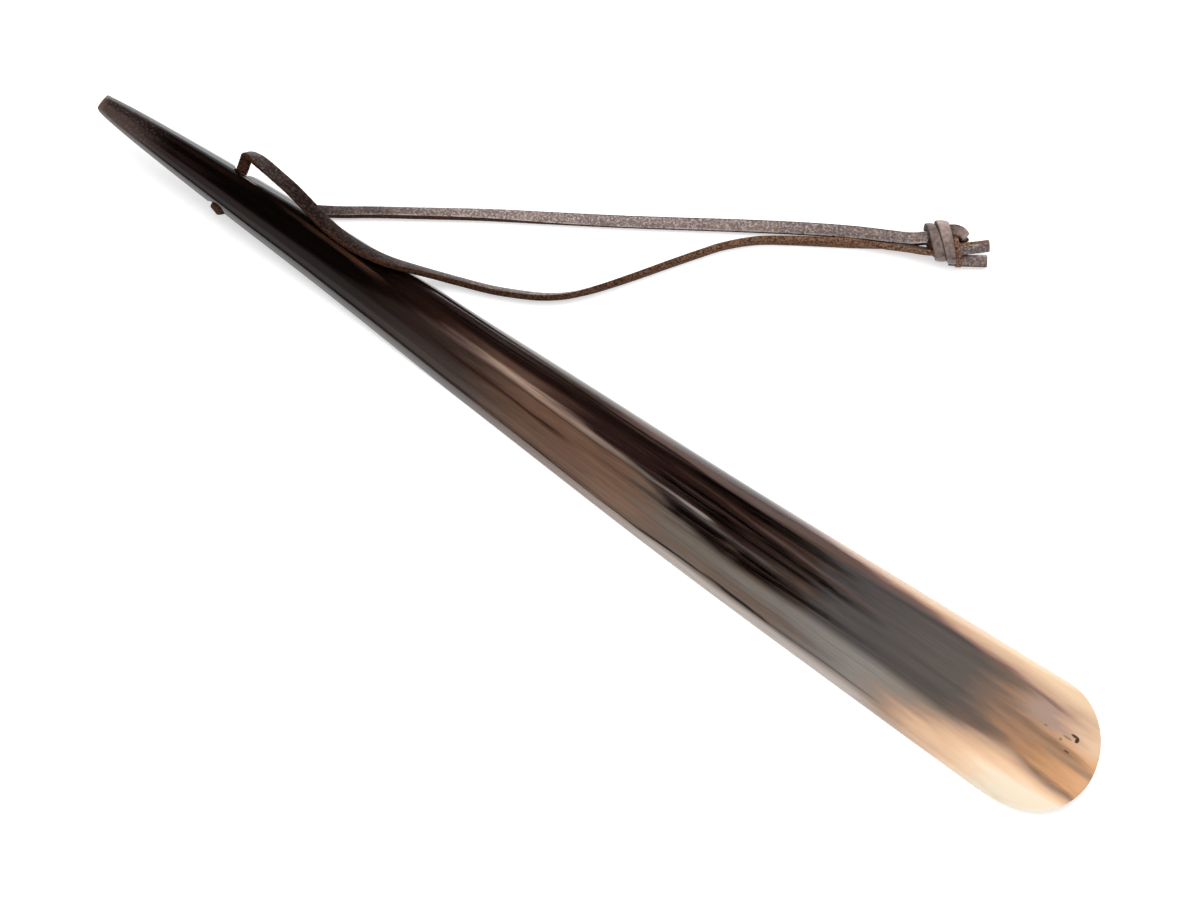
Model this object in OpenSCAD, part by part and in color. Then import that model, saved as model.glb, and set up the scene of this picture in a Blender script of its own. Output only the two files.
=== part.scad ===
// Shoehorn cut from one piece of natural horn, with a leather lace loop tied through its handle.
// X runs from the handle's tip (-X) to the lip (+X), and +Z is up with the hollow facing down.
// The origin is on the table, below the middle of the horn's own box. Lengths are millimetres.

/* [Blade] */
// Length from the handle's tip to the lip
blade_length = 350; // [344:1:356]
// Width at the very tip of the handle
tip_width = 5.4; // [4.6:0.1:6]
// Widest part of the blade, where the lip starts to round
blade_width = 41; // [39:0.5:43]
// How the sides spread: 1 is a straight taper, less swells out early
taper_power = 0.72; // [0.66:0.01:0.8]
// Length of the rounded lip
lip_length = 23; // [21:0.5:25]
// Sideways lean of the lip's apex
lip_lean = -3; // [-4:0.25:0]
// Wall thickness along the crown at the middle of the blade
blade_wall = 2.7; // [2.3:0.1:3.1]
// Wall thickness along the crown at the lip
lip_wall = 1.6; // [1.3:0.1:2]
// Width of the flat rim that the blade rests on
rim_width = 2; // [1.6:0.1:2.4]

/* [Handle] */
// Height of the handle's middle line at the tip, above the rims
tip_rise = 16; // [15:0.5:17]
// Distance from the tip over which the handle comes down to the table
rise_length = 135; // [130:1:140]
// How the handle comes down: 1 is straight, more curves it
rise_power = 1.3; // [1.2:0.05:1.4]
// Length over which the tip's end is rounded off
tip_ease = 1.5; // [1:0.25:3]

/* [Lace bore] */
// Distance from the tip to the cross bore
bore_from_tip = 45; // [44:0.5:46]
// Diameter of the cross bore
bore_d = 5.6; // [5.4:0.1:6]
// Diameter to which the bore's mouths are eased
mouth_d = 8; // [7.4:0.2:8.4]
// Rise of the bore towards the handle's far side, in degrees
bore_tilt = 8; // [6:1:10]

/* [Lace] */
// Width of the lace's face
lace_w = 3.4; // [3:0.1:3.6]
// Thickness of the lace
lace_t = 1.9; // [1.7:0.1:2.1]
// Chamfer along the lace's cut edges
lace_edge = 0.5; // [0.3:0.1:0.6]

/* [Knot] */
// Half width of the knot, across the two legs
knot_half_w = 6.4; // [6:0.1:6.8]
// Half height of the knot
knot_half_h = 4.4; // [4.2:0.1:4.6]
// How far the wrapped bands lean along the knot
knot_lean = 0.24; // [0:0.02:0.3]
// Length of the cut tails past the knot
tail_length = 8.5; // [7:0.5:10]

/* [Hidden] */

horn_colour = "#4a372c";
leather_colour = "#4b3a33";

tip_x = -blade_length / 2;
lip_x = blade_length / 2;
lip_start = lip_x - lip_length;

// Shape of the horn along its length, as [x, value] stations that a smooth curve joins.
// Sideways sweep of the middle line
sweep = [[-175, -6.2], [-130, -4], [-90, -2.35], [-40, -1.9], [40, -2.1], [110, -0.9], [175, 0.5]];
// Height of the crown above the middle line
crown = [[-175, 3], [-130, 5], [-60, 7], [0, 8.2], [90, 9], [140, 7.8], [175, 5.5]];
// Thickness from the crown to the underside: the solid handle thins into the hollow blade
solid = [[-175, 5.8], [-130, 9.6], [-105, 9.7], [-60, 6.6], [-20, 3.4], [30, blade_wall],
    [110, (blade_wall + lip_wall) / 2], [175, lip_wall]];
// Width of the rim on each side
rim = [[-175, 0.5], [-130, 1], [-60, 1.6], [0, rim_width], [140, 0.8 * rim_width], [175, 0.6 * rim_width]];
// Where the underside turns from a full belly to a hollow
hollow_from = -90;
hollow_to = -50;

// Facets of the horn: steps across each face, steps along the body and steps round the lip
across_steps = 18;
body_step = 7.5;
lip_steps = 9;
lip_last = 86.5;

// A smooth curve through the stations of a table
function bracket(table, x, i = 0) =
    (i >= len(table) - 2 || x < table[i + 1][0]) ? i : bracket(table, x, i + 1);
function slope(table, i) =
    let (a = max(i - 1, 0), b = min(i + 1, len(table) - 1))
    (table[b][1] - table[a][1]) / (table[b][0] - table[a][0]);
function curve(table, x) =
    let (
        i = bracket(table, x),
        run = table[i + 1][0] - table[i][0],
        t = (x - table[i][0]) / run,
        start = table[i][1],
        stop = table[i + 1][1]
    )
    start + (stop - start) * t * t * (3 - 2 * t)
        + run * t * (1 - t) * (slope(table, i) * (1 - t) - slope(table, i + 1) * t);

function middle_z(x) = tip_rise * pow(max(0, tip_x + rise_length - x) / rise_length, rise_power);
function half_width(x) =
    let (along = max(0, x - tip_x) / (lip_start - tip_x))
    (tip_width + (blade_width - tip_width) * pow(along, taper_power)) / 2;
function lip_part(x) = max(0, (x - lip_start) / lip_length);
function lip_trim(x) = sqrt(max(0, 1 - pow(lip_part(x), 2)));
function tip_round(x) =
    let (inside = min(1, (x - tip_x) / tip_ease))
    sqrt(1 - pow(1 - inside, 2));
function hollow_part(x) = min(1, max(0, (x - hollow_from) / (hollow_to - hollow_from)));
function arch(y, half) = sqrt(max(0, 1 - pow(y / half, 2)));

// One closed cross section of the horn: over the crown, then back along the underside
function horn_section(x) =
    let (
        half = half_width(x),
        tip_w = 0.68 + 0.32 * tip_round(x),
        tip_h = 0.6 + 0.4 * tip_round(x),
        outer = half * lip_trim(x) * tip_w,
        rim_w = curve(rim, x),
        inner = max(outer - rim_w, outer / 2),
        inner_arch = half - rim_w * hollow_part(x),
        lean = lip_lean * pow(lip_part(x), 2),
        rise = curve(crown, x),
        under = rise - curve(solid, x),
        mid_y = curve(sweep, x),
        mid_z = middle_z(x)
    )
    concat(
        [for (i = [0:across_steps])
            let (y = lean + outer * cos(180 * i / across_steps))
            [x, mid_y + y, mid_z + tip_h * rise * arch(y, half)]],
        [for (i = [across_steps:-1:0])
            let (y = lean + inner * cos(180 * i / across_steps))
            [x, mid_y + y, mid_z + tip_h * under * arch(y, inner_arch)]]
    );

body_steps = round((lip_start - tip_x - tip_ease) / body_step);
horn_stations = concat(
    [for (q = [0, 0.04, 0.16, 0.42]) tip_x + q * tip_ease],
    [for (i = [0:body_steps - 1]) tip_x + tip_ease + i * (lip_start - tip_x - tip_ease) / body_steps],
    [for (i = [0:lip_steps]) lip_start + lip_length * sin(lip_last * i / lip_steps)]
);

// A closed solid through rings of points that all have the same count
module loft(rings) {
    count = len(rings[0]);
    last = len(rings) - 1;
    polyhedron(
        points = [for (ring = rings) each ring],
        faces = concat(
            [[for (j = [0:count - 1]) j]],
            [for (i = [0:last - 1], j = [0:count - 1])
                let (k = (j + 1) % count)
                [i * count + j, (i + 1) * count + j, (i + 1) * count + k]],
            [for (i = [0:last - 1], j = [0:count - 1])
                let (k = (j + 1) % count)
                [i * count + j, (i + 1) * count + k, i * count + k]],
            [[for (j = [count - 1:-1:0]) last * count + j]]
        )
    );
}

// Cross bore and its eased mouths
bore_x = tip_x + bore_from_tip;
bore_y = curve(sweep, bore_x);
bore_z = middle_z(bore_x);
bore_half = half_width(bore_x);
mouth_depth = 1.6;

module cross_bore() {
    translate([bore_x, bore_y, bore_z]) rotate([90 + bore_tilt, 0, 0]) {
        cylinder(d = bore_d, h = 4 * bore_half, center = true, $fn = 48);
        for (side = [0, 180]) rotate([side, 0, 0]) translate([0, 0, bore_half - mouth_depth])
            cylinder(d1 = bore_d, d2 = mouth_d + 2, h = 2 * mouth_depth, $fn = 48);
    }
}

module horn_blade() {
    color(horn_colour) difference() {
        loft([for (x = horn_stations) horn_section(x)]);
        cross_bore();
    }
}

// The lace's route in one run: from the knot along the back leg, under the handle, up through the bore,
// over the fold and along the front leg to the knot again. Each row is the middle of the lace [x, y, z],
// then the compass heading of its width and that width's tilt above level.
knot_heading = 33;
knot_start = [45, 104, knot_half_h];
knot_axis = pointing(knot_heading, 0);
knot_side = pointing(knot_heading + 90, 0);
leg_offset = 2;
back_leg = [
    concat(knot_start + knot_side * leg_offset, [303, 0]),
    [40.4, 103.2, 3.5, 303, 16],
    [34.2, 100.2, 2.3, 305, 20],
    [26.2, 96, 1.8, 306, 18],
    [14.2, 88.8, 1.6, 306, 4],
    [-2, 78.3, 1.5, 306, -14],
    [-18, 67.5, 1.5, 306, -14],
    [-34, 56.8, 1.5, 306, -13],
    [-50, 46.4, 1.5, 306, -5],
    [-66, 36, 1.6, 306, 12],
    [-82, 25, 1.65, 306, 20],
    [-94, 16.7, 1.65, 306, 18],
    [-102, 11, 1.5, 308, 12],
    [-110, 6, 1.3, 314, 4],
    [-118, 1.4, 1.3, 322, 0],
    [-124.5, -3, 1.4, 335, 0],
    [-128.6, -6.4, 1.9, 340, 0],
    [-130.3, -8.9, 3.2, 340, 0],
    [-130.7, -10.2, 5, 342, 0],
    [-130.6, -10.5, 6.8, 349, 0],
    [-130.4, -9.6, 8.3, 356, 0],
    [-130.1, -7.7, 8.8, 360, 0]
];
bore_run = [
    [-130, -4, 9.4, 360, 0],
    [-130, -0.6, 9.9, 362, 0]
];
front_leg = [
    [-130.3, 2, 10.6, 372, -2],
    [-131, 5.2, 12.4, 385, -4],
    [-131.1, 6.1, 13.3, 398, -16],
    [-130.5, 6.7, 14.4, 418, -32],
    [-128.9, 6.7, 15.2, 434, -36],
    [-127, 6.6, 15.6, 442, -20],
    [-123.4, 6.9, 15.5, 446, 2],
    [-119.2, 7, 14.9, 444, 8],
    [-113.7, 6.2, 14, 440, 4],
    [-108, 4.6, 13.2, 437, -8],
    [-102, 3.5, 12.6, 440, -16],
    [-96, 2.9, 12.2, 446, -22],
    [-90, 3, 11.7, 452, -27],
    [-84.6, 3.8, 10.8, 462, -32],
    [-78.4, 5.6, 9.3, 470, -40],
    [-72.4, 8.4, 7, 475, -48],
    [-67, 11.2, 4.5, 476, -52],
    [-61, 14, 2.6, 474, -52],
    [-51, 18, 2.05, 475, -52],
    [-44, 21.4, 2.05, 478, -53],
    [-37.4, 25.2, 2, 484, -58],
    [-31.4, 30, 1.95, 494, -68],
    [-26.6, 35.6, 1.9, 503, -77],
    [-19.6, 45.6, 1.85, 506, -84],
    [-13, 55.6, 1.85, 506, -87],
    [-8, 63, 1.85, 505, -88],
    [-3.4, 69.4, 1.85, 499, -88],
    [3.4, 76.4, 1.85, 490, -88],
    [11, 82, 1.85, 485, -88],
    [18.9, 87.3, 1.85, 482, -88],
    [26.8, 92.4, 1.85, 480, -88],
    [35.4, 97, 2.3, 480, -88],
    [40.8, 99.9, 3.3, 481, -88],
    concat(knot_start - knot_side * leg_offset, [483, -90])
];
route = concat(back_leg, bore_run, front_leg);
back_last = len(back_leg) - 1;
front_first = len(back_leg) + len(bore_run);

function unit(v) = v / norm(v);
function place(row) = [row[0], row[1], row[2]];
function pointing(heading, tilt) = [cos(heading) * cos(tilt), sin(heading) * cos(tilt), sin(tilt)];

// The lace leaves and enters the knot square to the knot's ends
function travel(path, i) =
    i == 0 ? -knot_axis
    : i == len(path) - 1 ? knot_axis
    : unit(unit(place(path[i + 1]) - place(path[i])) + unit(place(path[i]) - place(path[i - 1])));

// The lace's flat cross section, chamfered along its four edges, as [across, up] pairs
lace_section = [for (corner = [[1, 1], [-1, 1], [-1, -1], [1, -1]])
    let (
        full = [corner.x * lace_w / 2, corner.y * lace_t / 2],
        long = [full.x - corner.x * lace_edge, full.y],
        short = [full.x, full.y - corner.y * lace_edge]
    )
    each corner.x * corner.y > 0 ? [short, long] : [long, short]];

function lace_ring(middle, ahead, width_way) =
    let (
        side = unit(width_way - ahead * (width_way * ahead)),
        face = cross(ahead, side)
    )
    [for (p = lace_section) middle + side * p.x + face * p.y];

route_rings = [for (i = [0:len(route) - 1])
    lace_ring(place(route[i]), travel(route, i), pointing(route[i][3], route[i][4]))];

module lace_stretch(first, last) {
    color(leather_colour) loft([for (i = [first:last]) route_rings[i]]);
}

module lace_back_leg() { lace_stretch(0, back_last); }
module lace_in_bore() { lace_stretch(back_last, front_first); }
module lace_front_leg() { lace_stretch(front_first, len(route) - 1); }

// Outline of the knot along its axis, as [distance, share of full size, shift to the far side]: two wrapped
// bands with a crease between them, a second crease, then the strand that the tails come out of
knot_profile = [
    [0, 0.74, 0.1], [0.4, 0.86, 0.3], [1.4, 0.92, 0.7], [2.8, 0.94, 0.9], [3.3, 0.86, 0.95], [3.8, 0.98, 1.05],
    [5, 1, 1.15], [6.3, 0.97, 0.9], [6.8, 0.85, 0.5], [7.3, 0.92, 0.2], [8.4, 0.92, -0.4], [9.5, 0.9, -1],
    [10, 0.84, -1.2]
];
knot_sides = 20;
knot_length = knot_profile[len(knot_profile) - 1][0];
knot_flat_end = 1.4;

// A place in the knot, from its distance along, its distance to the far side and its height above the table
function knot_place(along, across, height) =
    [knot_start.x, knot_start.y, height] + knot_axis * along + knot_side * across;

// The bands lean, but both ends of the knot stay square to its axis
function knot_lean_at(along) =
    knot_lean * min(1, along / knot_flat_end, (knot_length - along) / knot_flat_end);
function knot_ring(along, share, shift) =
    [for (j = [0:knot_sides - 1])
        let (
            turn = 360 * j / knot_sides,
            across = knot_half_w * share * cos(turn)
        )
        knot_place(
            along - knot_lean_at(along) * across,
            across + shift,
            knot_half_h * (1 + share * sin(turn))
        )];

// The turn bulges out of the knot's far side, beside the tails
turn_middle = [9.2, 4.2, 5.4];
turn_half = [2.9, 2.2, 2.3];
module lace_knot() {
    color(leather_colour) union() {
        loft([for (row = knot_profile) knot_ring(row[0], row[1], row[2])]);
        translate(knot_place(turn_middle.x, turn_middle.y, turn_middle.z))
            rotate([0, 0, knot_heading])
                scale(turn_half)
                    sphere(r = 1, $fn = 20);
    }
}

// The two cut tails leave the knot's end side by side, each rolled with its far edge up. A tail is
// given by its place [across, height] at the knot and at its cut end, and by its roll.
far_tail = [[-1.2, 5.4], [0.6, 4.5], 48];
near_tail = [[-3.6, 2.1], [-3.45, 2.05], 12];
module lace_tail(tail) {
    width_way = knot_side * cos(tail[2]) + [0, 0, sin(tail[2])];
    rows = [for (t = [0, 0.4, 1])
        let (spot = tail[0] + (tail[1] - tail[0]) * t)
        knot_place(knot_length + tail_length * t, spot.x, spot.y)];
    rings = [for (i = [0:2]) lace_ring(rows[i], i == 0 ? knot_axis : unit(rows[i] - rows[i - 1]), width_way)];
    color(leather_colour) loft(rings);
}

module lace_far_tail() { lace_tail(far_tail); }
module lace_near_tail() { lace_tail(near_tail); }

horn_blade();
lace_in_bore();
lace_front_leg();
lace_back_leg();
lace_knot();
lace_far_tail();
lace_near_tail();
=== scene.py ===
"""Looks of a natural horn shoehorn with a leather lace loop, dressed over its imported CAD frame.

Lengths in the classes are millimetres, as on the bench; meshes are written in metres.
"""

import logging
import math
from dataclasses import dataclass, field
from enum import Enum

import bmesh
import bpy
from mathutils import Matrix, Vector


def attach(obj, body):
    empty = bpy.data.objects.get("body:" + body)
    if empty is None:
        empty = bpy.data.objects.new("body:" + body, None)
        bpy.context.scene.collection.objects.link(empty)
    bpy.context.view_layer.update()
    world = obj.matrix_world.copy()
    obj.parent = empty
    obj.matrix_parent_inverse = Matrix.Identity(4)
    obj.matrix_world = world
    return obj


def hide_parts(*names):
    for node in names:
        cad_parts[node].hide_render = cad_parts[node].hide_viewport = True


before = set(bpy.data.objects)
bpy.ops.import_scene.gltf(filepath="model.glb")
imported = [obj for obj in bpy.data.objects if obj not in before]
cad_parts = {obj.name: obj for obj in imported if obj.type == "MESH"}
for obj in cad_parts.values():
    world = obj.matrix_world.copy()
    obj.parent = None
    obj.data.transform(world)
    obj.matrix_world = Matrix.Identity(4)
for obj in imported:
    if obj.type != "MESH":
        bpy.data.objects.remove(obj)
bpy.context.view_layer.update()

MM = 0.001
HORN_LENGTH = 350.0
LOG = logging.getLogger("shoehorn")
Colour = tuple[float, float, float, float]
Stops = tuple[tuple[float, Colour], ...]
Station = tuple[float, float]
Spot = tuple[float, float, float]
KnotRow = tuple[float, float, float, float]
RouteRow = tuple[float, float, float, float, float]
Leather = tuple[bpy.types.Material, bpy.types.Material]


def srgb(code: str) -> Colour:
    """Turns a written colour into the linear values that a shader takes.

    Args:
        code: six hex digits.

    Returns:
        Red, green, blue and alpha 1.
    """
    parts = [int(code[i : i + 2], 16) / 255 for i in (0, 2, 4)]
    linear = [c / 12.92 if c <= 0.04045 else ((c + 0.055) / 1.055) ** 2.4 for c in parts]
    return (linear[0], linear[1], linear[2], 1.0)


def smooth_curve(stations: tuple[Station, ...], x: float) -> float:
    """Reads a smooth curve through a table of stations.

    Args:
        stations: pairs of place and value, in order of place.
        x: the place to read.

    Returns:
        The value there.
    """
    last = len(stations) - 1
    i = 0
    while i < last - 1 and x >= stations[i + 1][0]:
        i += 1

    def slope(k: int) -> float:
        """Slope at a station, from its two neighbours."""
        low, high = stations[max(k - 1, 0)], stations[min(k + 1, last)]
        return (high[1] - low[1]) / (high[0] - low[0])

    run = stations[i + 1][0] - stations[i][0]
    t = (x - stations[i][0]) / run
    start, stop = stations[i][1], stations[i + 1][1]
    eased = start + (stop - start) * t * t * (3 - 2 * t)
    return eased + run * t * (1 - t) * (slope(i) * (1 - t) - slope(i + 1) * t)


class Value:
    """A socket in a node tree. Python's operators on it add Math nodes."""

    def __init__(self, shader: "Shader", socket: bpy.types.NodeSocket) -> None:
        """Keeps the tree's builder and the socket."""
        self.shader = shader
        self.socket = socket

    def math(self, operation: str, *inputs: "Value | float") -> "Value":
        """Adds one Math node.

        Args:
            operation: the node's operation.
            inputs: its values or links, in order.

        Returns:
            The node's result.
        """
        return self.shader.node("ShaderNodeMath", {"operation": operation}, dict(enumerate(inputs)))

    def __add__(self, other: "Value | float") -> "Value":
        """Sum."""
        return self.math("ADD", self, other)

    def __radd__(self, other: float) -> "Value":
        """Sum, number first."""
        return self.math("ADD", other, self)

    def __sub__(self, other: "Value | float") -> "Value":
        """Difference."""
        return self.math("SUBTRACT", self, other)

    def __rsub__(self, other: float) -> "Value":
        """Difference, number first."""
        return self.math("SUBTRACT", other, self)

    def __mul__(self, other: "Value | float") -> "Value":
        """Product."""
        return self.math("MULTIPLY", self, other)

    def __rmul__(self, other: float) -> "Value":
        """Product, number first."""
        return self.math("MULTIPLY", other, self)

    def __truediv__(self, other: "Value | float") -> "Value":
        """Quotient."""
        return self.math("DIVIDE", self, other)

    def __abs__(self) -> "Value":
        """Size without sign."""
        return self.math("ABSOLUTE", self)

    def most(self, other: "Value | float") -> "Value":
        """The larger of two."""
        return self.math("MAXIMUM", self, other)

    def ease(self, low: float, high: float) -> "Value":
        """Goes smoothly from 0 at low to 1 at high, either way round.

        Args:
            low: where the result is 0.
            high: where the result is 1.

        Returns:
            The eased share.
        """
        return self.shader.node(
            "ShaderNodeMapRange", {"interpolation_type": "SMOOTHSTEP"}, {0: self, 1: low, 2: high}
        )


class Shader:
    """Builds one material's or world's node tree."""

    def __init__(self, tree: bpy.types.NodeTree) -> None:
        """Starts with an empty tree."""
        self.tree = tree
        tree.nodes.clear()

    def node(
        self,
        kind: str,
        settings: dict[str, object] | None = None,
        inputs: dict[str | int, object] | None = None,
        output: int | str = 0,
    ) -> Value:
        """Adds any node.

        Args:
            kind: the node's type.
            settings: properties set first; "stops" holds a ramp's places and colours.
            inputs: values or links of its sockets, by name or number.
            output: which output to hand back.

        Returns:
            That output.
        """
        made = self.tree.nodes.new(kind)
        for name, setting in (settings or {}).items():
            if name == "stops":
                self._set_stops(made.color_ramp, setting)
            else:
                setattr(made, name, setting)
        for key, value in (inputs or {}).items():
            if isinstance(value, Value):
                self.tree.links.new(value.socket, made.inputs[key])
            else:
                made.inputs[key].default_value = value
        return Value(self, made.outputs[output]) if made.outputs else Value(self, made.inputs[0])

    @staticmethod
    def _set_stops(ramp: bpy.types.ColorRamp, stops: Stops) -> None:
        """Gives a ramp its stops.

        Args:
            ramp: the ramp to fill.
            stops: places and colours, in order of place.
        """
        while len(ramp.elements) < len(stops):
            ramp.elements.new(1.0)
        for element, (place, colour) in zip(ramp.elements, stops):
            element.position = place
            element.color = colour

    def mix(self, share: Value | float, first: object, second: object) -> Value:
        """Mixes two colours.

        Args:
            share: 0 gives the first, 1 the second.
            first: a colour or link.
            second: a colour or link.

        Returns:
            The mixed colour.
        """
        return self.node("ShaderNodeMix", {"data_type": "RGBA"}, {0: share, 6: first, 7: second}, 2)

    def point(self, x: Value | float, y: Value | float, z: Value | float = 0.0) -> Value:
        """Joins three numbers into a vector."""
        return self.node("ShaderNodeCombineXYZ", None, {0: x, 1: y, 2: z})

    def noise(self, where: Value, detail: float = 2.0, roughness: float = 0.5) -> Value:
        """Smooth noise around one half, one unit of the vector to a lump.

        Args:
            where: the place to read.
            detail: how many finer layers.
            roughness: how strong the finer layers are.

        Returns:
            The noise's value.
        """
        return self.node(
            "ShaderNodeTexNoise",
            {"noise_dimensions": "3D"},
            {"Vector": where, "Scale": 1.0, "Detail": detail, "Roughness": roughness},
        )

    def ramp(self, where: Value, stops: Stops) -> Value:
        """Reads a colour from a ramp, from 0 to 1."""
        return self.node("ShaderNodeValToRGB", {"stops": stops}, {0: where})

    def attribute(self, name: str) -> tuple[Value, Value, Value]:
        """Reads a vector that the mesh carries.

        Args:
            name: the attribute.

        Returns:
            Its three numbers.
        """
        vector = self.node("ShaderNodeAttribute", {"attribute_name": name}, None, "Vector")
        apart = self.node("ShaderNodeSeparateXYZ", None, {0: vector})
        outputs = apart.socket.node.outputs
        return Value(self, outputs[0]), Value(self, outputs[1]), Value(self, outputs[2])

    def bump(self, height: Value, depth_mm: float, strength: float) -> Value:
        """Turns a height into a normal.

        Args:
            height: from 0 to 1.
            depth_mm: how deep a step of 1 is.
            strength: share of the effect.

        Returns:
            The normal.
        """
        return self.node(
            "ShaderNodeBump", None, {"Strength": strength, "Distance": depth_mm * MM, "Height": height}
        )

    def surface(self, inputs: dict[str, object]) -> None:
        """Closes a material with one surface, which has these values or links in its sockets."""
        shown = self.node("ShaderNodeBsdfPrincipled", None, inputs)
        self.node("ShaderNodeOutputMaterial", None, {0: shown})


def open_material(name: str) -> tuple[bpy.types.Material, Shader]:
    """Starts an empty material.

    Args:
        name: the material's name.

    Returns:
        The material and the builder of its tree.
    """
    material = bpy.data.materials.new(name)
    material.use_nodes = True
    return material, Shader(material.node_tree)


@dataclass(frozen=True)
class Streak:
    """A streak of colour on the horn, from one place along it to another: mostly its fibres, and one a
    painted highlight by the bore.
    """

    start: float
    stop: float
    across_start: float
    across_stop: float
    half: float
    soft: float
    colour: Colour
    strength: float = 1.0
    fade: float = 8.0

    def mask(self, along: Value, across: Value) -> Value:
        """Share of the streak's colour at a place.

        Args:
            along: millimetres along the horn.
            across: place across the horn, from -1 at the near rim to 1 at the far rim.

        Returns:
            The share, from 0 to the streak's strength.
        """
        slope = (self.across_stop - self.across_start) / (self.stop - self.start)
        middle = along * slope + (self.across_start - slope * self.start)
        body = abs(across - middle).ease(self.half + self.soft, max(self.half - self.soft, 0.0))
        enter = along.ease(self.start - self.fade, self.start + self.fade)
        leave = along.ease(self.stop + self.fade, self.stop - self.fade)
        return body * enter * leave * self.strength


@dataclass(frozen=True)
class Pit:
    """A small dark mark in the horn, longer along it than across."""

    along: float
    across: float
    half_length: float
    half_width: float
    strength: float

    def mask(self, along: Value, across: Value) -> Value:
        """Share of the mark's colour at a place.

        Args:
            along: millimetres along the horn.
            across: place across the horn, from -1 at the near rim to 1 at the far rim.

        Returns:
            The share, from 0 to the mark's strength.
        """
        out = (along - self.along) / self.half_length
        aside = (across - self.across) / self.half_width
        return (out * out + aside * aside).ease(1.5, 0.4) * self.strength


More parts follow.
